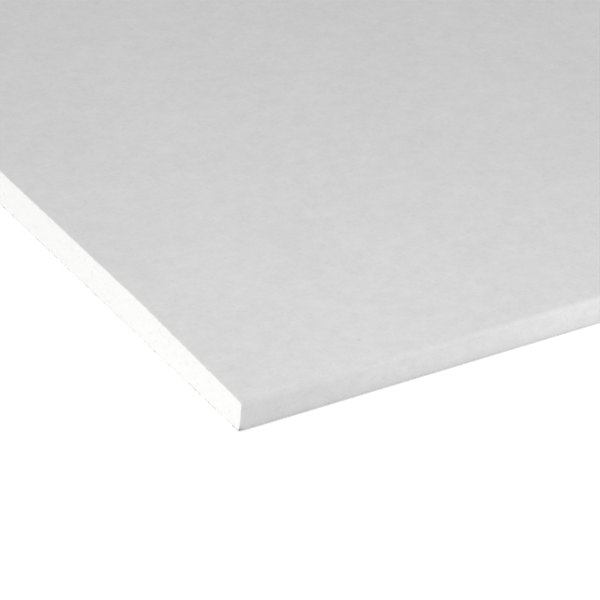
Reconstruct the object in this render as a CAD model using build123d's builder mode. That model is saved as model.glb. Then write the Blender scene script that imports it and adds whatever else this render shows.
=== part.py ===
"""Drywall sheet with tapered long edges, lying flat with its face up.

A gypsum core is cast between two papers. The face paper covers the face, folds round both
long edges and laps onto the back, where the back paper is glued over the laps. The two short
ends are cut square, so the white core shows there between the papers.

Millimetres. X runs along the sheet, Y across it and Z up. The origin is the middle of the
back, on the surface that the sheet lies on.
"""

import os

from build123d import *

# Overall size of the sheet, with the width taken at the sharp corners of the face
sheet_length = 2400.0
sheet_width = 1200.0
sheet_thickness = 12.5

# Papers
face_paper_thickness = 0.3
back_paper_thickness = 0.3
lap_width = 30.0
back_paper_margin = 4.0

# Long edge: the face dips towards it for the jointing tape, and the wall leans in at the back
taper_width = 60.0
taper_depth = 2.1
taper_blend_radius = 400.0
edge_lean = 1.2
face_arris_radius = 1.2
back_arris_radius = 1.2

# Heights and half widths that follow from the driving dimensions
wrap_underside = back_paper_thickness
edge_height = sheet_thickness - taper_depth
half_width = sheet_width / 2
half_back_width = half_width - edge_lean
taper_start = half_width - taper_width
core_strip_width = 2 * (half_back_width - lap_width)
back_paper_width = 2 * (half_back_width - back_paper_margin)

# Outline across the sheet of everything that the face paper wraps, the paper included
with BuildSketch(Plane.YZ) as wrapped_outline:
    with BuildLine():
        Polyline(
            (-half_back_width, wrap_underside),
            (half_back_width, wrap_underside),
            (half_width, edge_height),
            (taper_start, sheet_thickness),
            (-taper_start, sheet_thickness),
            (-half_width, edge_height),
            close=True,
        )
    make_face()
    fillet(wrapped_outline.vertices().group_by(Axis.Y)[-1], taper_blend_radius)
    fillet(wrapped_outline.vertices().group_by(Axis.Y)[0], back_arris_radius)
    corner_columns = wrapped_outline.vertices().group_by(Axis.X)
    fillet(corner_columns[0] + corner_columns[-1], face_arris_radius)

# Core: the wrapped outline less one paper all round, and full depth between the two laps
with BuildPart() as gypsum_core:
    with BuildSketch(Plane.YZ) as core_section:
        add(wrapped_outline.sketch_local)
        offset(amount=-face_paper_thickness, mode=Mode.REPLACE)
        with Locations((0, wrap_underside)):
            Rectangle(
                core_strip_width,
                2 * face_paper_thickness,
                align=(Align.CENTER, Align.MIN),
            )
    extrude(amount=sheet_length / 2, both=True)

# Face paper: what the core leaves of the wrapped outline, an open ring that ends in two laps
with BuildPart() as face_paper:
    with BuildSketch(Plane.YZ):
        add(wrapped_outline.sketch_local)
        add(core_section.sketch_local, mode=Mode.SUBTRACT)
    extrude(amount=sheet_length / 2, both=True)

# Back paper: a flat strip glued over the core and the laps, short of the long edges
with BuildPart() as back_paper:
    with BuildSketch():
        Rectangle(sheet_length, back_paper_width)
    extrude(amount=back_paper_thickness)

gypsum_core.part.label = "gypsum_core"
face_paper.part.label = "face_paper"
back_paper.part.label = "back_paper"

os.makedirs("parts", exist_ok=True)
export_step(gypsum_core.part, "parts/gypsum_core.step")
export_step(face_paper.part, "parts/face_paper.step")
export_step(back_paper.part, "parts/back_paper.step")
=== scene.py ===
"""Looks of a drywall sheet that lies flat with its face up, in a plain studio.

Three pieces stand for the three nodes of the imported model: the gypsum core with its two cut
ends, the face paper that wraps the face and both long edges, and the back paper.

Metres. X runs along the sheet, Y across it and Z up.
"""

import math
from typing import NamedTuple

import bpy
import numpy as np
from bpy.props import FloatProperty, FloatVectorProperty, PointerProperty
from mathutils import Matrix, Vector


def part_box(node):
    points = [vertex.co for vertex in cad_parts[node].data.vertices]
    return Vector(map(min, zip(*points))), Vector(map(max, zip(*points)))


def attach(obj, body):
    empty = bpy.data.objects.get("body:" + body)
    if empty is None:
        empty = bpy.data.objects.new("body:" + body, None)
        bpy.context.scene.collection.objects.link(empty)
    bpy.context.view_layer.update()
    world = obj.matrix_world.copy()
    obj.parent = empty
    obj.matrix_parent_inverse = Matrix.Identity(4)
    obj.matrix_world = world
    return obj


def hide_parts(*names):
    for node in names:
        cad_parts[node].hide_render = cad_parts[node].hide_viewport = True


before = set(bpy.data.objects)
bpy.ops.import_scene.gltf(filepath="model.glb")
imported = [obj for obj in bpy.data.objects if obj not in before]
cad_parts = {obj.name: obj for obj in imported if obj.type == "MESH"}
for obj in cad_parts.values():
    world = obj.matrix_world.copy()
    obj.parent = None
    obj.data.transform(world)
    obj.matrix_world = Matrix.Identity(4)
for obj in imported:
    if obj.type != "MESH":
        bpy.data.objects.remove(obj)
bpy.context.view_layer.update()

bl_info = {
    "name": "Drywall Sheet",
    "version": (1, 0, 0),
    "blender": (4, 5, 0),
    "location": "3D View > Sidebar > Drywall",
    "description": "Gypsum board with tapered, wrapped long edges and cut ends, in a plain studio",
    "category": "Add Mesh",
}

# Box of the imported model, and the sizes that its nodes give
FACE_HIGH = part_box("face_paper")[1]
CORE_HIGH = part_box("gypsum_core")[1]
BACK_LOW, BACK_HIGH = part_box("back_paper")
HALF_LENGTH = FACE_HIGH.x
SHEET_TOP = FACE_HIGH.z
FACE_PAPER_THICKNESS = FACE_HIGH.z - CORE_HIGH.z
BACK_PAPER_THICKNESS = BACK_HIGH.z - BACK_LOW.z
BACK_PAPER_WIDTH = BACK_HIGH.y - BACK_LOW.y

MM = 0.001
BODY = "root"
DUST_LAYER = "dust"
# Vertex layer that carries painted shade at the face arris and at the foot of the wall
PAINTED_SHADE_LAYER = "painted_shade"

# Picture: its side in pixels, the width in millimetres that the lens is given for, and the clip distances
IMAGE_SIDE = 600
SENSOR_WIDTH = 36.0
CLIP_NEAR = 0.05
CLIP_FAR = 500.0

# Random draws: the first seed of each piece, and the coarse share where a coarse and a fine noise add up
CORE_SEED = 41
FACE_PAPER_SEED = 11
BACK_PAPER_SEED = 23
COARSE_SHARE = 0.6


class PaperLook(NamedTuple):
    """What tells one paper from the other: how its fibre varies, its flecks and its specks."""

    fibre: dict
    flecks: dict
    fleck_dark: float
    speck_dark: float


# Spots and pores: cells to the metre, a spot's radius in cells, and the share of cells that hold one
PAPER_SPECKS = {"Scale": 700.0, "Radius": 0.42, "Share": 0.5}
LARGE_PORES = {"Scale": 520.0, "Radius": 0.32, "Share": 0.30}
SMALL_PORES = {"Scale": 1500.0, "Radius": 0.34, "Share": 0.45}
FACE_LOOK = PaperLook(
    fibre={"Cloud Share": 0.06, "Clump Share": 0.22, "Fibre Share": 0.07},
    flecks={"Scale": 160.0, "Radius": 0.055, "Share": 0.006},
    fleck_dark=0.22,
    speck_dark=0.035,
)
BACK_LOOK = PaperLook(
    fibre={"Cloud Share": 0.08, "Clump Share": 0.18, "Fibre Share": 0.16},
    flecks={"Scale": 160.0, "Radius": 0.055, "Share": 0.12},
    fleck_dark=0.25,
    speck_dark=0.05,
)


class Lamp(NamedTuple):
    """A softbox: its aim from the near corner of the face, its stand from the aim, and its size."""

    aim: tuple
    stand: tuple
    size: tuple


END_LAMP = Lamp(aim=(0.0, 0.0, 0.0), stand=(-2.6, -0.3, 0.5), size=(1.6, 0.7))
EDGE_LAMP = Lamp(aim=(0.15, 0.0, -SHEET_TOP / 2), stand=(0.0, -0.13, 0.018), size=(0.12, 0.03))
CORNER_LAMP = Lamp(aim=(0.06, 0.04, 0.0), stand=(-0.048, -0.086, 0.29), size=(0.16, 0.16))


def number(name, description, default, **kind):
    """A property that holds one number, with a unit or a subtype where one fits."""
    return FloatProperty(name=name, description=description, default=default, precision=5, **kind)


def length(name, description, default):
    """A property that holds a length in metres."""
    return number(name, description, default, unit="LENGTH")


def angle(name, description, degrees):
    """A property that holds an angle, given here in degrees."""
    return number(name, description, math.radians(degrees), subtype="ANGLE", unit="ROTATION")


def share(name, description, default):
    """A property that holds a share from 0 to 1."""
    return number(name, description, default, subtype="FACTOR", min=0.0, max=1.0)


def pixels(name, description, default):
    """A property that holds a place in the picture."""
    return number(name, description, default, subtype="PIXEL")


def power(name, description, default):
    """A property that holds the power of a lamp in watts."""
    return number(name, description, default, unit="POWER")


def colour(name, description, default):
    """A property that holds a linear colour."""
    return FloatVectorProperty(
        name=name, description=description, default=default, subtype="COLOR", size=3, min=0.0, max=1.0
    )


class EdgeShape(bpy.types.PropertyGroup):
    """Section of the wrapped long edge, and the spacing of the points that follow it."""

    sheet_width: length("Sheet width", "Width at the sharp corners of the face", 1.2)
    taper_width: length("Taper width", "Strip along each long edge where the face dips", 60 * MM)
    taper_depth: length("Taper depth", "Depth of the dip at the edge", 2.1 * MM)
    taper_blend: length("Taper blend", "Radius between the face and the dip", 400 * MM)
    edge_lean: length("Edge lean", "How far the wall of the edge leans in at the back", 1.6 * MM)
    face_arris: length("Face arris", "Radius between the face and the wall", 1.2 * MM)
    back_arris: length("Back arris", "Radius between the wall and the lap", 0.5 * MM)
    lap_width: length("Lap width", "Width of the face paper folded onto the back", 30 * MM)
    point_spacing: length("Point spacing", "Spacing of the points across the sheet", 0.8 * MM)


class CutEnd(bpy.types.PropertyGroup):
    """Relief of the cut ends."""

    wave_depth: length("Wave depth", "Depth of the shallow unevenness of the cut", 0.10 * MM)
    pit_depth: length("Pit depth", "Depth of the largest air pits in the core", 0.30 * MM)
    pit_radius: length("Pit radius", "Radius of the largest air pits in the core", 1.1 * MM)
    pit_spacing: length("Pit spacing", "Spacing of the pits", 5.0 * MM)
    paper_fray: length("Paper fray", "How far the cut edge of the papers wanders", 0.08 * MM)
    paper_curl: length("Paper curl", "How far the cut edge of the papers is pressed down", 0.06 * MM)
    dust_reach: length("Dust reach", "How far gypsum dust reaches onto the papers from a cut", 0.15 * MM)


class Finish(bpy.types.PropertyGroup):
    """Colours of the core, of the papers and of the floor."""

    gypsum: colour("Gypsum", "Colour of the core", (0.88, 0.88, 0.87))
    face_paper: colour("Face paper", "Colour of the face paper", (0.665, 0.665, 0.665))
    back_paper: colour("Back paper", "Colour of the back paper", (0.50, 0.485, 0.46))
    floor: colour("Floor", "Colour of the floor", (0.88, 0.88, 0.88))


class Marks(bpy.types.PropertyGroup):
    """Small marks on the face paper: painted shade at the face arris and at the foot of the wall,
    a painted shadow at the foot of the near corner, and a fleck.
    """

    # Painted shade: darkens the face paper half way round the face arris, to take down its highlight, and
    # at the foot of the wall, where the floor shades it
    painted_shade: share("Shade", "How much darker the paper is where it is shaded at the folds", 0.068)
    painted_shade_reach: length("Rub reach", "How far the rub reaches up the wall from its foot", 1.6 * MM)
    # Painted shadow: a dark spot on the paper at the foot of the near corner stands in for the contact
    # shadow under that corner
    corner_shadow_radius: length("Scuff radius", "Reach of the scuff at the foot of the near corner", 1.9 * MM)
    corner_shadow_dark: share("Shadow", "How much darker the middle of the scuff is", 0.97)
    corner_shadow_height: length("Scuff height", "Height of the scuff above the back of the wrap", 0.45 * MM)
    fleck_radius: length("Fleck radius", "Reach of the single fleck near the edge", 0.9 * MM)
    fleck_dark: share("Fleck", "How much darker the middle of the fleck is", 0.4)
    fleck_across: pixels("Fleck across", "Fleck in the picture, from the left", 359.2)
    fleck_down: pixels("Fleck down", "Fleck in the picture, from the top", 339.9)


class Studio(bpy.types.PropertyGroup):
    """Camera and light."""

    lens: number("Lens", "Focal length in millimetres on a 36 mm wide picture", 210.0, unit="CAMERA")
    azimuth: angle("Azimuth", "Turn of the camera about the sheet", -29.794)
    elevation: angle("Elevation", "Height of the camera above the horizon", 29.940)
    distance: length("Distance", "Depth of the near corner in front of the camera", 0.9912)
    corner_across: pixels("Corner across", "Near corner in the picture, from the left", 241.39)
    corner_down: pixels("Corner down", "Near corner in the picture, from the top", 397.67)
    sky: number("Sky", "Light from all round", 0.72)
    end_light: power("End light", "Power of the softbox before the cut end", 23.0)
    edge_light: power("Edge light", "Power of the small softbox before the long edge", 0.061)
    corner_light: power("Corner light", "Power of the small softbox over the near corner", 0.24)


def half_section(shape):
    """Half of the section, from the middle of the face round one long edge to the end of the lap.

    The path is drawn by its heading. Straight runs hold the heading and each rounded corner turns
    it at a steady rate, so each step is a chord of length step * sin(turn / 2) / (turn / 2) along
    the heading at its middle, and a point is the running sum of the chords. Returns the points
    (y, z), the outward normals and the length run at each point.
    """
    arris_steps = 14
    half_width = shape.sheet_width / 2
    half_back = half_width - shape.edge_lean
    corners = np.array([
        (0.0, SHEET_TOP),
        (half_width - shape.taper_width, SHEET_TOP),
        (half_width, SHEET_TOP - shape.taper_depth),
        (half_back, BACK_PAPER_THICKNESS),
        (half_back - shape.lap_width, BACK_PAPER_THICKNESS),
    ])
    radii = np.array([shape.taper_blend, shape.face_arris, shape.back_arris])
    legs = np.diff(corners, axis=0)
    headings = np.unwrap(np.arctan2(legs[:, 1], legs[:, 0]))
    headings[-1] = -math.pi
    turns = np.abs(np.diff(headings))
    tangents = radii * np.tan(turns / 2)
    straights = np.hypot(legs[:, 0], legs[:, 1])
    straights[:-1] -= tangents
    straights[1:] -= tangents
    # Straights and rounded corners take turns, and the last two corners are the arrises
    runs = np.zeros(len(straights) + len(radii))
    runs[0::2] = straights
    runs[1::2] = radii * turns
    steps = np.ceil(runs / shape.point_spacing).astype(int)
    steps[3::2] = arris_steps
    knots = np.concatenate([[0.0], np.cumsum(runs)])
    along = np.concatenate([
        np.linspace(start, end, count, endpoint=False)
        for start, end, count in zip(knots[:-1], knots[1:], steps)
    ])
    along = np.append(along, knots[-1])
    heading = np.interp(along, knots, np.repeat(headings, 2))
    middle = (heading[:-1] + heading[1:]) / 2
    chord = np.diff(along) * np.sinc(np.diff(heading) / (2 * math.pi))
    chords = chord[:, None] * np.column_stack([np.cos(middle), np.sin(middle)])
    points = np.vstack([corners[:1], corners[:1] + np.cumsum(chords, axis=0)])
    normals = np.column_stack([-np.sin(heading), np.cos(heading)])
    return points, normals, along


def mirrored(half):
    """A half path and its mirror image across Y as one path, for points (y, z) or for lengths run."""
    other = half[::-1].copy()
    if other.ndim == 2:
        other[:, 0] *= -1
    else:
        other *= -1
    return np.concatenate([other, half[1:]])


def full_section(shape):
    """The whole section as one open path: lap, wall, face, wall, lap."""
    return tuple(mirrored(half) for half in half_section(shape))


def cell_place(places, cell):
    """The lattice cell of each place, and the share of the way across it, eased by 3t^2 - 2t^3."""
    scaled = places / cell
    low = np.floor(scaled).astype(int)
    way = scaled - low
    return low, way * way * (3 - 2 * way)


def line_noise(along, cell, seed):
    """Smooth noise on a line: random values one cell apart, blended by the eased share, from -1 to 1."""
    low, way = cell_place(along - along.min(), cell)
    values = np.random.default_rng(seed).uniform(-1, 1, low.max() + 2)
    return values[low] * (1 - way) + values[low + 1] * way


def plane_noise(across, up, cell, seed):
    """Smooth noise on a plane: random values on a square lattice, blended both ways, from -1 to 1."""
    low, way = cell_place(np.stack([across - across.min(), up - up.min()]), cell)
    size = low.max(axis=(1, 2)) + 2
    values = np.random.default_rng(seed).uniform(-1, 1, size)
    column, row = low
    way_across, way_up = way
    below = values[column, row] * (1 - way_across) + values[column + 1, row] * way_across
    above = values[column, row + 1] * (1 - way_across) + values[column + 1, row + 1] * way_across
    return below * (1 - way_up) + above * way_up


def blended(coarse, fine):
    """A coarse noise and a fine one, added in fixed shares."""
    return COARSE_SHARE * coarse + (1 - COARSE_SHARE) * fine


def round_pits(across, up, spacing, radius, seed):
    """Round pits, one at a random place in each cell of a square lattice.

    A pit of radius r is a bowl of depth size * (1 - (distance / r)^2), and the deepest of the
    pits in the nine nearest cells counts. Sizes are the cube of a random share, so that most pits
    are small, and r is the size, or a least share, times the largest radius.
    """
    size_power = 3
    least_radius = 0.3
    place = np.stack([across - across.min(), up - up.min()]) / spacing + 1
    cell = np.floor(place).astype(int)
    lattice = cell.max(axis=(1, 2)) + 2
    rng = np.random.default_rng(seed)
    middle = rng.uniform(0, 1, (2, *lattice))
    size = rng.uniform(0, 1, lattice) ** size_power
    depth = np.zeros(across.shape)
    for step_across in (-1, 0, 1):
        for step_up in (-1, 0, 1):
            column = cell[0] + step_across
            row = cell[1] + step_up
            away_across = place[0] - column - middle[0, column, row]
            away_up = place[1] - row - middle[1, column, row]
            pit_radius = np.maximum(size[column, row], least_radius) * radius / spacing
            bowl = 1 - (np.hypot(away_across, away_up) / pit_radius) ** 2
            depth = np.maximum(depth, size[column, row] * bowl)
    return depth


def lattice_quads(index):
    """Quads between neighbouring rows and columns of a lattice of vertex numbers."""
    corners = (index[:-1, :-1], index[1:, :-1], index[1:, 1:], index[:-1, 1:])
    return np.stack(corners, axis=-1).reshape(-1, 4)


def mesh_of_quads(name, points, quads, sharp_degrees=50.0):
    """A mesh of quads, smooth except at edges that turn by more than the given angle."""
    mesh = bpy.data.meshes.new(name)
    mesh.vertices.add(len(points))
    mesh.vertices.foreach_set("co", np.ascontiguousarray(points, dtype=np.float32).ravel())
    mesh.loops.add(quads.size)
    mesh.loops.foreach_set("vertex_index", np.ascontiguousarray(quads, dtype=np.int32).ravel())
    mesh.polygons.add(len(quads))
    mesh.polygons.foreach_set("loop_start", np.arange(0, quads.size, 4, dtype=np.int32))
    mesh.update(calc_edges=True)
    if mesh.validate():
        raise RuntimeError(f"the mesh of {name} has faulty faces")
    mesh.shade_smooth()
    mesh.set_sharp_from_angle(angle=math.radians(sharp_degrees))
    return mesh


def set_layer(mesh, name, values):
    """Gives each vertex of a mesh a number that materials can read by name."""
    layer = mesh.attributes.new(name, "FLOAT", "POINT")
    layer.data.foreach_set("value", np.ascontiguousarray(values, dtype=np.float32))


def paper_mesh(name, outer, normals, along, thickness, cut, painted_shade_reach, seed):
    """A paper carried along X on a path in the section, with a cut edge at each end.

    The wall is the path and the same path one thickness inwards. It is carried through stations
    along X that crowd towards the ends. At an end the cut wanders by fray * noise(length along
    the path) and the paper is pressed inwards by curl * noise * exp(-distance / reach). The
    attribute "dust" falls from 1 on the cut by exp(-distance / dust reach). The attribute of
    painted shade is the sine of twice the tilt of the surface, which is 1 half way round the arris
    of the face, where it takes down the highlight, plus exp(-height / shade reach) times the y of
    the normal, which is largest at the foot of the wall, where the floor shades it.
    """
    press_reach = 0.8 * MM
    coarse_cell = 6 * MM
    fine_cell = 1.6 * MM
    press_cell = 11 * MM
    fine_seed = seed + 7
    press_seed = seed + 20
    from_end = np.array([0.0, 0.15, 0.4, 0.9, 2.0, 5.0, 15.0, 60.0, 250.0, 700.0]) * MM
    stations = np.concatenate([from_end - HALF_LENGTH, [0.0], (HALF_LENGTH - from_end)[::-1]])
    side = np.sign(stations)
    to_end = HALF_LENGTH - np.abs(stations)
    fade = np.exp(-to_end / press_reach)
    inner = outer - thickness * normals
    loop = np.concatenate([outer, inner[::-1]])
    loop_normals = np.concatenate([normals, normals[::-1]])
    loop_along = np.concatenate([along, along[::-1]])
    fray = np.stack([
        blended(
            line_noise(loop_along, coarse_cell, seed + end),
            line_noise(loop_along, fine_cell, fine_seed + end),
        )
        for end in (0, 1)
    ])
    fray = cut.paper_fray * (fray + 1) / 2
    end_fray = fray[(side > 0).astype(int)]
    press = cut.paper_curl * fade[:, None] * blended(1.0, line_noise(loop_along, press_cell, press_seed))
    count = len(loop)
    points = np.empty((len(stations), count, 3))
    points[:, :, 0] = stations[:, None] - (side * fade)[:, None] * end_fray
    points[:, :, 1] = loop[:, 0] - press * loop_normals[:, 0]
    points[:, :, 2] = loop[:, 1] - press * loop_normals[:, 1]
    index = np.arange(points.shape[0] * count).reshape(points.shape[:2])
    closed = np.concatenate([index, index[:, :1]], axis=1)
    half = len(outer)
    low_cap = np.stack([index[0, half:][::-1], index[0, :half]])
    high_cap = np.stack([index[-1, :half], index[-1, half:][::-1]])
    quads = np.concatenate([lattice_quads(closed), lattice_quads(low_cap), lattice_quads(high_cap)])
    mesh = mesh_of_quads(name, points.reshape(-1, 3), quads)
    dust = np.exp(-to_end / cut.dust_reach)
    tilt = np.abs(loop_normals[:, 0])
    # Painted shade: 1 half way round the face arris, to take down its highlight, plus more at the foot of
    # the wall, where the floor shades it
    painted_shade = np.clip(2 * tilt * loop_normals[:, 1], 0, 1)
    painted_shade += tilt * np.exp(-(loop[:, 1] - loop[:, 1].min()) / painted_shade_reach)
    set_layer(mesh, DUST_LAYER, np.repeat(dust, count))
    set_layer(mesh, PAINTED_SHADE_LAYER, np.tile(painted_shade, len(stations)))
    return mesh


def resample(path, shares):
    """Points of a path at the given shares of its length."""
    run = np.concatenate([[0.0], np.cumsum(np.hypot(*np.diff(path, axis=0).T))])
    return np.column_stack([np.interp(shares * run[-1], run, path[:, k]) for k in (0, 1)])


def core_outline(shape):
    """The four sides of the core's section, each from low to high y or z.

    The sides meet near the middle of each arris, where the surface has the tilts given here. The
    top and the walls follow the inside of the face paper. The bottom follows the laps and drops to
    the back paper between them.
    """
    face_corner_tilt = math.radians(48)
    back_corner_tilt = math.radians(136)
    drop_run = 0.5 * MM
    points, normals, _ = half_section(shape)
    inside = points - FACE_PAPER_THICKNESS * normals
    tilt = np.arctan2(normals[:, 0], normals[:, 1])
    face_corner = np.searchsorted(tilt, face_corner_tilt)
    back_corner = np.searchsorted(tilt, back_corner_tilt)
    lap_end = inside[-1, 0]
    strip = np.array([
        (lap_end - drop_run, BACK_PAPER_THICKNESS),
        (0.0, BACK_PAPER_THICKNESS),
    ])
    top = mirrored(inside[:face_corner + 1])
    wall = inside[face_corner:back_corner + 1][::-1]
    bottom = mirrored(np.concatenate([inside[back_corner:], strip])[::-1])
    return bottom, top, wall * (-1, 1), wall


def core_mesh(name, shape, cut, seed):
    """The core: a section patch at each cut end, joined by straight sides.

    A patch P(u, v) blends its four sides: the bottom and the top by 1 - v and v, plus the two walls
    by 1 - u and u, less the four corners blended both ways. Its depth behind the cut plane is a
    shallow wave plus round pits, which fade over the few rows next to the papers.
    """
    rows = 19
    rim_rows = 3
    edge_share = 0.004
    edge_columns = 14
    column_spacing = 0.68 * MM
    wave_cell = 9 * MM
    ripple_cell = 2.4 * MM
    seeds_apart = 100
    columns = int(shape.sheet_width / column_spacing)
    ramp = np.linspace(0, edge_share, edge_columns, endpoint=False)
    u = np.concatenate([ramp, np.linspace(edge_share, 1 - edge_share, columns), (1 - ramp)[::-1]])
    v = np.linspace(0, 1, rows)
    bottom, top, low_wall, high_wall = core_outline(shape)
    bottom, top = resample(bottom, u), resample(top, u)
    low_wall, high_wall = resample(low_wall, v), resample(high_wall, v)
    v_grid, u_grid = v[:, None, None], u[None, :, None]
    corners = (
        (1 - v_grid) * ((1 - u_grid) * bottom[0] + u_grid * bottom[-1])
        + v_grid * ((1 - u_grid) * top[0] + u_grid * top[-1])
    )
    section = (
        (1 - v_grid) * bottom + v_grid * top
        + (1 - u_grid) * low_wall[:, None] + u_grid * high_wall[:, None] - corners
    )
    y, z = section[..., 0], section[..., 1]
    rows_in = np.minimum(v, 1 - v)[:, None] * (rows - 1)
    pit_depth = np.clip(rows_in / rim_rows, 0, 1) * cut.pit_depth
    ends = []
    for end, side in enumerate((-1, 1)):
        end_seed = seed + seeds_apart * end
        wave = blended(plane_noise(y, z, wave_cell, end_seed), plane_noise(y, z, ripple_cell, end_seed + 1))
        pits = round_pits(y, z, cut.pit_spacing, cut.pit_radius, end_seed + 2)
        depth = cut.wave_depth * (wave + 1) / 2 + pit_depth * pits
        ends.append(np.stack([side * (HALF_LENGTH - depth), y, z], axis=-1).reshape(-1, 3))
    count = y.size
    index = np.arange(count).reshape(y.shape)
    rim = np.concatenate([index[0], index[1:, -1], index[-1, -2::-1], index[-2:0:-1, 0]])
    rim = np.append(rim, rim[0])
    quads = np.concatenate([
        lattice_quads(index),
        lattice_quads(index[::-1] + count),
        lattice_quads(np.stack([rim + count, rim])),
    ])
    return mesh_of_quads(name, np.concatenate(ends), quads)


def node(tree, kind, inputs=(), **settings):
    """Adds a node, sets its options and fills its inputs with values or with links."""
    made = tree.nodes.new(kind)
    for key, value in settings.items():
        setattr(made, key, value)
    for key, value in dict(inputs).items():
        if isinstance(value, bpy.types.NodeSocket):
            tree.links.new(value, made.inputs[key])
        else:
            made.inputs[key].default_value = value
    return made


def arith(tree, operation, first, second=0.0, third=0.0):
    """The result of a Math node on two or three values or links."""
    return node(tree, "ShaderNodeMath", {0: first, 1: second, 2: third}, operation=operation).outputs[0]


def carried(tree, value, low, high, start, end, kind="LINEAR"):
    """A value carried from the range low to high onto the range start to end, and held at both."""
    return node(tree, "ShaderNodeMapRange", {
        "Value": value, "From Min": low, "From Max": high, "To Min": start, "To Max": end,
    }, interpolation_type=kind).outputs["Result"]


def noise(tree, vector, scale, detail, roughness=0.5):
    """A noise texture, less one half, so that it varies about nothing."""
    made = node(tree, "ShaderNodeTexNoise", {
        "Vector": vector, "Scale": scale, "Detail": detail, "Roughness": roughness,
    })
    return arith(tree, "SUBTRACT", made.outputs["Fac"], 0.5)


def new_group(name, inputs, outputs):
    """An empty shader node group with a Vector input, number inputs and number outputs."""
    tree = bpy.data.node_groups.new(name, "ShaderNodeTree")
    tree.interface.new_socket("Vector", in_out="INPUT", socket_type="NodeSocketVector")
    for key, default in inputs.items():
        socket = tree.interface.new_socket(key, in_out="INPUT", socket_type="NodeSocketFloat")
        socket.default_value = default
    for key in outputs:
        tree.interface.new_socket(key, in_out="OUTPUT", socket_type="NodeSocketFloat")
    return tree, tree.nodes.new("NodeGroupInput").outputs, tree.nodes.new("NodeGroupOutput").inputs


def paper_fibre_group(name):
    """Pressed paper: wide clouds, clumps of fibre and single fibres.

    The tone is 1 plus each of the three noises times its share. The height is the fibres plus the
    clumps at a fixed share.
    """
    clump_height = 0.5
    tree, given, result = new_group(
        name,
        {"Cloud Scale": 22.0, "Clump Scale": 200.0, "Fibre Scale": 1300.0,
         "Cloud Share": 0.05, "Clump Share": 0.19, "Fibre Share": 0.06},
        ("Tone", "Height"),
    )
    cloud = noise(tree, given["Vector"], given["Cloud Scale"], detail=3.0)
    clump = noise(tree, given["Vector"], given["Clump Scale"], detail=3.0, roughness=0.9)
    fibre = noise(tree, given["Vector"], given["Fibre Scale"], detail=2.0, roughness=0.6)
    tone = arith(tree, "MULTIPLY_ADD", cloud, given["Cloud Share"], 1.0)
    tone = arith(tree, "MULTIPLY_ADD", clump, given["Clump Share"], tone)
    tone = arith(tree, "MULTIPLY_ADD", fibre, given["Fibre Share"], tone)
    tree.links.new(tone, result["Tone"])
    tree.links.new(arith(tree, "MULTIPLY_ADD", clump, clump_height, fibre), result["Height"])
    return tree


def spots_group(name):
    """Round spots: a share of the cells of a random cell pattern each holds one soft-edged spot.

    A spot's radius is the given one times the sum of a least size and a random share. The spot is
    full out to a fixed part of that radius.
    """
    least_size = 0.4
    full_part = 0.45
    tree, given, result = new_group(name, {"Scale": 200.0, "Radius": 0.2, "Share": 0.3}, ("Mask",))
    cells = node(tree, "ShaderNodeTexVoronoi", {"Vector": given["Vector"], "Scale": given["Scale"]}).outputs
    drawn = node(tree, "ShaderNodeSeparateColor", {"Color": cells["Color"]}).outputs
    there = arith(tree, "LESS_THAN", drawn["Red"], given["Share"])
    size = arith(tree, "MULTIPLY", given["Radius"], arith(tree, "ADD", drawn["Green"], least_size))
    full = arith(tree, "MULTIPLY", size, full_part)
    disc = carried(tree, cells["Distance"], full, size, 1.0, 0.0, "SMOOTHSTEP")
    tree.links.new(arith(tree, "MULTIPLY", disc, there), result["Mask"])
    return tree


def shared_groups():
    """The node groups that more than one material uses, made the first time they are asked for."""
    makers = {"paper_fibre": paper_fibre_group, "spots": spots_group}
    return {name: bpy.data.node_groups.get(name) or make(name) for name, make in makers.items()}


def use_group(tree, group, inputs):
    """Places a node group in a material, fills its inputs and returns its outputs."""
    return node(tree, "ShaderNodeGroup", inputs, node_tree=group).outputs


def new_material(name):
    """A material with nothing but its output node, and the object's own coordinates."""
    material = bpy.data.materials.new(name)
    material.use_nodes = True
    tree = material.node_tree
    tree.nodes.clear()
    output = tree.nodes.new("ShaderNodeOutputMaterial")
    place = node(tree, "ShaderNodeTexCoord").outputs["Object"]
    return material, tree, output, place


def layer_value(tree, name):
    """The number that a piece's vertices hold under a name."""
    return node(tree, "ShaderNodeAttribute", attribute_name=name).outputs["Fac"]


def darker(tree, mask, dark):
    """A factor that is 1 where a mask is 0 and 1 - dark where it is 1."""
    return arith(tree, "MULTIPLY_ADD", mask, -dark, 1.0)


def toned(tree, base, tone):
    """A colour times a value that varies over the surface."""
    return node(tree, "ShaderNodeVectorMath", {0: base, 1: tone}, operation="MULTIPLY").outputs[0]


def mixed_colour(tree, part, first, second):
    """The first colour, and the second by a part that varies over the surface.

    The colour sockets of a Mix node go by number, because its names repeat for each kind of value.
    """
    part_socket, first_socket, second_socket, result_socket = 0, 6, 7, 2
    mix = node(tree, "ShaderNodeMix", {
        part_socket: part, first_socket: first, second_socket: (*second, 1.0),
    }, data_type="RGBA")
    return mix.outputs[result_socket]


def shadow_and_fleck_mark(tree, place, middle, radius, dark):
    """A factor that is 1 - dark at the middle of a mark and rises to 1 at its radius.

    The mark fades by the cube of 1 - distance / radius.
    """
    fade_power = 3.0
    away = node(tree, "ShaderNodeVectorMath", {0: place, 1: middle}, operation="DISTANCE")
    near = carried(tree, away.outputs["Value"], 0.0, radius, 1.0, 0.0)
    return darker(tree, arith(tree, "POWER", near, fade_power), dark)


def raised(tree, height, strength, depth):
    """The normal of a surface raised by a height times the given depth."""
    bump = node(tree, "ShaderNodeBump", {"Strength": strength, "Distance": depth, "Height": height})
    return bump.outputs["Normal"]


def matt_surface(tree, output, base, roughness, specular, normal):
    """Ends a material in a plain matt shader."""
    shader = node(tree, "ShaderNodeBsdfPrincipled", {
        "Base Color": base,
        "Roughness": roughness,
        "Specular IOR Level": specular,
        "Normal": normal,
    })
    tree.links.new(shader.outputs[0], output.inputs["Surface"])


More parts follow.
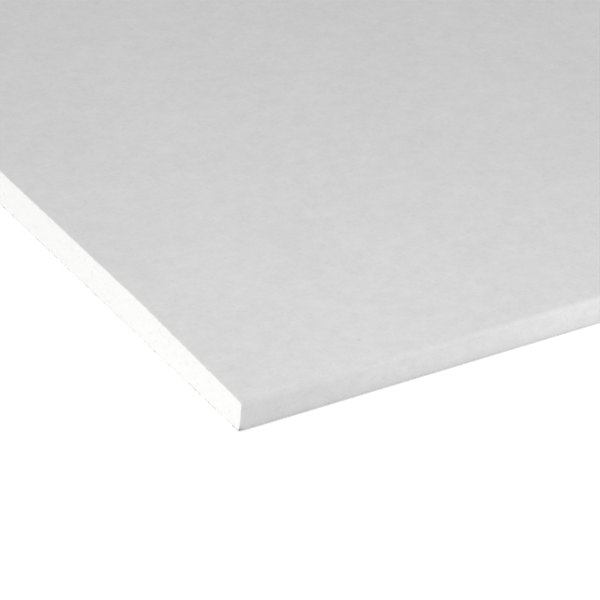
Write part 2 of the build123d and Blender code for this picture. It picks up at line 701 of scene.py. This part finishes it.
def paper_material(name, base, dust, look, painted_shade=0.0, shadow_and_fleck_marks=()):
    """Matt recycled paper: fibre tone and relief, dark flecks and specks, gypsum dust at the cuts,
    painted shade at the face arris and at the foot of the wall, and the given marks.

    The dust lies in patches, thin where a noise is low and full where it is high.
    """
    thin_below = -0.16
    full_above = 0.06
    thin_dust = 0.25
    relief_strength = 0.35
    relief_depth = 0.12 * MM
    base_roughness = 0.86
    fibre_roughness = 0.15
    specular = 0.25
    groups = shared_groups()
    material, tree, output, place = new_material(name)
    pulp = use_group(tree, groups["paper_fibre"], {"Vector": place, **look.fibre})
    flecks = use_group(tree, groups["spots"], {"Vector": place, **look.flecks})["Mask"]
    specks = use_group(tree, groups["spots"], {"Vector": place, **PAPER_SPECKS})["Mask"]
    tone = arith(tree, "MULTIPLY", pulp["Tone"], darker(tree, flecks, look.fleck_dark))
    tone = arith(tree, "MULTIPLY_ADD", specks, -look.speck_dark, tone)
    # Painted shade at the face arris and at the foot of the wall
    tone = arith(tree, "MULTIPLY", tone, darker(tree, layer_value(tree, PAINTED_SHADE_LAYER), painted_shade))
    patch_noise = noise(tree, place, scale=330.0, detail=3.0, roughness=0.6)
    patches = carried(tree, patch_noise, thin_below, full_above, thin_dust, 1.0, "SMOOTHSTEP")
    dusty = arith(tree, "MULTIPLY", layer_value(tree, DUST_LAYER), patches)
    shown = mixed_colour(tree, dusty, toned(tree, base, tone), dust)
    # Painted shadow at the foot of the near corner, and the fleck on the dip
    for middle, radius, dark in shadow_and_fleck_marks:
        shown = toned(tree, shown, shadow_and_fleck_mark(tree, place, middle, radius, dark))
    roughness = arith(tree, "MULTIPLY_ADD", pulp["Height"], fibre_roughness, base_roughness)
    normal = raised(tree, pulp["Height"], relief_strength, relief_depth)
    matt_surface(tree, output, shown, roughness, specular, normal)
    return material


def gypsum_material(name, base):
    """Chalky white core: fine grain, with air pores that are sunk, and a little painted shade in them."""
    small_pore_depth = 0.6
    grain_height = 0.5
    grain_tone = 0.05
    pore_painted_shade = 0.05
    relief_strength = 0.5
    relief_depth = 0.2 * MM
    base_roughness = 0.93
    pore_roughness = 0.05
    specular = 0.15
    groups = shared_groups()
    material, tree, output, place = new_material(name)
    grain = noise(tree, place, scale=900.0, detail=3.0, roughness=0.6)
    large = use_group(tree, groups["spots"], {"Vector": place, **LARGE_PORES})["Mask"]
    small = use_group(tree, groups["spots"], {"Vector": place, **SMALL_PORES})["Mask"]
    pores = arith(tree, "MAXIMUM", large, arith(tree, "MULTIPLY", small, small_pore_depth))
    height = arith(tree, "SUBTRACT", arith(tree, "MULTIPLY", grain, grain_height), pores)
    tone = arith(tree, "MULTIPLY_ADD", grain, grain_tone, 1.0)
    # Painted shade in the pores
    tone = arith(tree, "MULTIPLY_ADD", pores, -pore_painted_shade, tone)
    roughness = arith(tree, "MULTIPLY_ADD", pores, pore_roughness, base_roughness)
    normal = raised(tree, height, relief_strength, relief_depth)
    matt_surface(tree, output, toned(tree, base, tone), roughness, specular, normal)
    return material


def seen_ray(tree):
    """1 on rays that show a surface in the picture, directly or by reflection, and 0 on others."""
    path = node(tree, "ShaderNodeLightPath").outputs
    reflected_ray = arith(tree, "MAXIMUM", path["Is Glossy Ray"], path["Is Transmission Ray"])
    return arith(tree, "MAXIMUM", path["Is Camera Ray"], reflected_ray)


def floor_material(name, base):
    """Pale floor that shows almost white and still takes the shadow of the sheet."""
    lift = 0.36
    speckle_tone = 0.01
    material, tree, output, place = new_material(name)
    speckle = noise(tree, place, scale=60.0, detail=2.0)
    tone = arith(tree, "MULTIPLY_ADD", speckle, speckle_tone, 1.0)
    bounce = node(tree, "ShaderNodeBsdfDiffuse", {"Color": toned(tree, base, tone)})
    glow = node(tree, "ShaderNodeEmission", {"Strength": lift})
    lifted = node(tree, "ShaderNodeAddShader", {0: bounce.outputs[0], 1: glow.outputs[0]})
    mix = node(tree, "ShaderNodeMixShader", {
        0: seen_ray(tree), 1: bounce.outputs[0], 2: lifted.outputs[0],
    })
    tree.links.new(mix.outputs[0], output.inputs["Surface"])
    return material


def add_piece(mesh, material, node_name):
    """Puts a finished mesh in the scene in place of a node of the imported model."""
    piece = bpy.data.objects.new(mesh.name, mesh)
    bpy.context.scene.collection.objects.link(piece)
    mesh.materials.append(material)
    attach(piece, BODY)
    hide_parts(node_name)


def add_floor(base):
    """A wide level floor, just under the sheet."""
    half_side = 120.0
    drop = 0.05 * MM
    lines = 9
    side = np.linspace(-half_side, half_side, lines)
    x, y = np.meshgrid(side, side, indexing="ij")
    points = np.stack([x, y, np.full(x.shape, -drop)], axis=-1).reshape(-1, 3)
    mesh = mesh_of_quads("floor", points, lattice_quads(np.arange(x.size).reshape(x.shape)))
    mesh.materials.append(floor_material("pale_floor", base))
    floor = bpy.data.objects.new("floor", mesh)
    bpy.context.scene.collection.objects.link(floor)


def add_softbox(name, lamp, corner, watts):
    """An area lamp that aims and stands as given from the near corner."""
    target = corner + Vector(lamp.aim)
    place = target + Vector(lamp.stand)
    turn = (target - place).to_track_quat("-Z", "Y").to_matrix()
    light = bpy.data.lights.new(name, "AREA")
    light.shape = "RECTANGLE"
    light.size, light.size_y = lamp.size
    light.energy = watts
    holder = bpy.data.objects.new(name, light)
    holder.matrix_world = Matrix.Translation(place) @ turn.to_4x4()
    holder.visible_camera = False
    bpy.context.scene.collection.objects.link(holder)


def set_world(sky):
    """Even light from all round, which shows as white."""
    world = bpy.data.worlds.new("studio")
    bpy.context.scene.world = world
    world.use_nodes = True
    tree = world.node_tree
    tree.nodes.clear()
    background = node(tree, "ShaderNodeBackground", {
        "Color": (1.0, 1.0, 1.0, 1.0), "Strength": carried(tree, seen_ray(tree), 0.0, 1.0, sky, 1.0),
    })
    output = tree.nodes.new("ShaderNodeOutputWorld")
    tree.links.new(background.outputs[0], output.inputs["Surface"])


def near_corner(edge):
    """The sharp corner of the face that is nearest to the camera."""
    return Vector((-HALF_LENGTH, -edge.sheet_width / 2, SHEET_TOP))


def pixel_offset(studio, across, down):
    """How far a pixel lies right of and below the middle of the picture, at a depth of 1."""
    focal_pixels = studio.lens / SENSOR_WIDTH * IMAGE_SIDE
    return (across - IMAGE_SIDE / 2) / focal_pixels, (down - IMAGE_SIDE / 2) / focal_pixels


def camera_axes(studio, corner):
    """Place of the camera and its directions right, up and back.

    The camera looks along -back, where back points from the sheet to the camera at the given
    azimuth and elevation. The corner lies the given depth in front of it, and as far aside and
    down as its pixel says, depth * pixels / focal length in pixels.
    """
    azimuth, elevation = studio.azimuth, studio.elevation
    level = math.cos(elevation)
    back = Vector((math.sin(azimuth) * level, -math.cos(azimuth) * level, math.sin(elevation)))
    right = Vector((math.cos(azimuth), math.sin(azimuth), 0.0))
    up = back.cross(right)
    aside, down = pixel_offset(studio, studio.corner_across, studio.corner_down)
    place = corner - studio.distance * (aside * right - down * up - back)
    return place, right, up, back


def set_camera(studio, corner):
    """A camera whose picture shows the given corner at the given pixel."""
    place, right, up, back = camera_axes(studio, corner)
    lens = bpy.data.cameras.new("camera")
    lens.sensor_width = SENSOR_WIDTH
    lens.lens = studio.lens
    lens.clip_start = CLIP_NEAR
    lens.clip_end = CLIP_FAR
    camera = bpy.data.objects.new("camera", lens)
    turn = Matrix((right, up, back)).transposed()
    camera.matrix_world = Matrix.Translation(place) @ turn.to_4x4()
    bpy.context.scene.collection.objects.link(camera)
    bpy.context.scene.camera = camera


def face_shadow_and_fleck_marks(settings):
    """The painted shadow at the foot of the near corner, standing in for its contact shadow, and the
    fleck on the dip, as (middle, radius, dark).

    The fleck lies where the line of sight of its pixel meets the plane of the dip.
    """
    edge, marks, studio = settings.edge, settings.marks, settings.studio
    half_width = edge.sheet_width / 2
    # Painted shadow: the dark spot sits on the wrap at the foot of the near corner, where the contact
    # shadow falls
    corner_shadow = (-HALF_LENGTH, edge.edge_lean - half_width, BACK_PAPER_THICKNESS + marks.corner_shadow_height)
    eye, right, up, back = camera_axes(studio, near_corner(edge))
    aside, down = pixel_offset(studio, marks.fleck_across, marks.fleck_down)
    ray = aside * right - down * up - back
    rim = Vector((0.0, -half_width, SHEET_TOP - edge.taper_depth))
    slope = Vector((0.0, -edge.taper_depth, edge.taper_width))
    fleck = eye + ray * ((rim - eye).dot(slope) / ray.dot(slope))
    return (
        (corner_shadow, marks.corner_shadow_radius, marks.corner_shadow_dark),
        (tuple(fleck), marks.fleck_radius, marks.fleck_dark),
    )


class DRYWALL_OT_gypsum_core(bpy.types.Operator):
    """Adds the gypsum core, with its pits at the two cut ends."""

    bl_idname = "drywall.gypsum_core"
    bl_label = "Gypsum core"

    def execute(self, context):
        settings = context.scene.drywall
        mesh = core_mesh("core", settings.edge, settings.cut, CORE_SEED)
        material = gypsum_material("chalky_gypsum", tuple(settings.finish.gypsum))
        add_piece(mesh, material, "gypsum_core")
        return {"FINISHED"}


class DRYWALL_OT_face_paper(bpy.types.Operator):
    """Adds the face paper, folded round both long edges onto the back."""

    bl_idname = "drywall.face_paper"
    bl_label = "Face paper"

    def execute(self, context):
        settings = context.scene.drywall
        finish, marks = settings.finish, settings.marks
        points, normals, along = full_section(settings.edge)
        mesh = paper_mesh(
            "wrapped_face_paper", points, normals, along, FACE_PAPER_THICKNESS, settings.cut,
            marks.painted_shade_reach, FACE_PAPER_SEED,
        )
        material = paper_material(
            "pale_grey_paper", tuple(finish.face_paper), tuple(finish.gypsum), FACE_LOOK,
            painted_shade=marks.painted_shade, shadow_and_fleck_marks=face_shadow_and_fleck_marks(settings),
        )
        add_piece(mesh, material, "face_paper")
        return {"FINISHED"}


class DRYWALL_OT_back_paper(bpy.types.Operator):
    """Adds the back paper, glued over the laps of the face paper."""

    bl_idname = "drywall.back_paper"
    bl_label = "Back paper"

    def execute(self, context):
        settings = context.scene.drywall
        finish = settings.finish
        count = int(BACK_PAPER_WIDTH / settings.edge.point_spacing)
        along = np.linspace(BACK_PAPER_WIDTH / 2, -BACK_PAPER_WIDTH / 2, count)
        points = np.column_stack([along, np.full(count, BACK_LOW.z)])
        normals = np.tile((0.0, -1.0), (count, 1))
        mesh = paper_mesh(
            "back_paper_strip", points, normals, along, BACK_PAPER_THICKNESS, settings.cut,
            settings.marks.painted_shade_reach, BACK_PAPER_SEED,
        )
        material = paper_material(
            "coarse_grey_paper", tuple(finish.back_paper), tuple(finish.gypsum), BACK_LOOK,
        )
        add_piece(mesh, material, "back_paper")
        return {"FINISHED"}


class DRYWALL_OT_studio(bpy.types.Operator):
    """Adds the floor, the light and the camera."""

    bl_idname = "drywall.studio"
    bl_label = "Studio"

    def execute(self, context):
        settings = context.scene.drywall
        studio = settings.studio
        corner = near_corner(settings.edge)
        context.scene.view_settings.view_transform = "Standard"
        add_floor(tuple(settings.finish.floor))
        set_world(studio.sky)
        add_softbox("end_softbox", END_LAMP, corner, studio.end_light)
        add_softbox("edge_softbox", EDGE_LAMP, corner, studio.edge_light)
        add_softbox("corner_softbox", CORNER_LAMP, corner, studio.corner_light)
        set_camera(studio, corner)
        return {"FINISHED"}


class Drywall(bpy.types.PropertyGroup):
    """All settings of the sheet and its studio."""

    edge: PointerProperty(type=EdgeShape, name="Edge", description="Section of the long edge")
    cut: PointerProperty(type=CutEnd, name="Cut ends", description="Relief of the cut ends")
    finish: PointerProperty(type=Finish, name="Finish", description="Colours")
    marks: PointerProperty(type=Marks, name="Marks", description="Small marks on the face paper")
    studio: PointerProperty(type=Studio, name="Studio", description="Camera and light")


OPERATORS = (DRYWALL_OT_gypsum_core, DRYWALL_OT_face_paper, DRYWALL_OT_back_paper, DRYWALL_OT_studio)


class DRYWALL_PT_sheet(bpy.types.Panel):
    """Lists the pieces of the sheet and their settings."""

    bl_idname = "DRYWALL_PT_sheet"
    bl_label = "Drywall Sheet"
    bl_space_type = "VIEW_3D"
    bl_region_type = "UI"
    bl_category = "Drywall"

    def draw(self, context):
        settings = context.scene.drywall
        for operator in OPERATORS:
            self.layout.operator(operator.bl_idname)
        for group in (settings.edge, settings.cut, settings.finish, settings.marks, settings.studio):
            box = self.layout.box()
            for key in group.__annotations__:
                box.prop(group, key)


CLASSES = (EdgeShape, CutEnd, Finish, Marks, Studio, Drywall, *OPERATORS, DRYWALL_PT_sheet)


def register():
    """Makes the classes known to Blender and gives each scene the settings."""
    for cls in CLASSES:
        bpy.utils.register_class(cls)
    bpy.types.Scene.drywall = PointerProperty(type=Drywall)


def unregister():
    """Takes back what register did."""
    del bpy.types.Scene.drywall
    for cls in reversed(CLASSES):
        bpy.utils.unregister_class(cls)


def main():
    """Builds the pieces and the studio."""
    register()
    bpy.ops.drywall.gypsum_core()
    bpy.ops.drywall.face_paper()
    bpy.ops.drywall.back_paper()
    bpy.ops.drywall.studio()


if __name__ == "__main__":
    main()
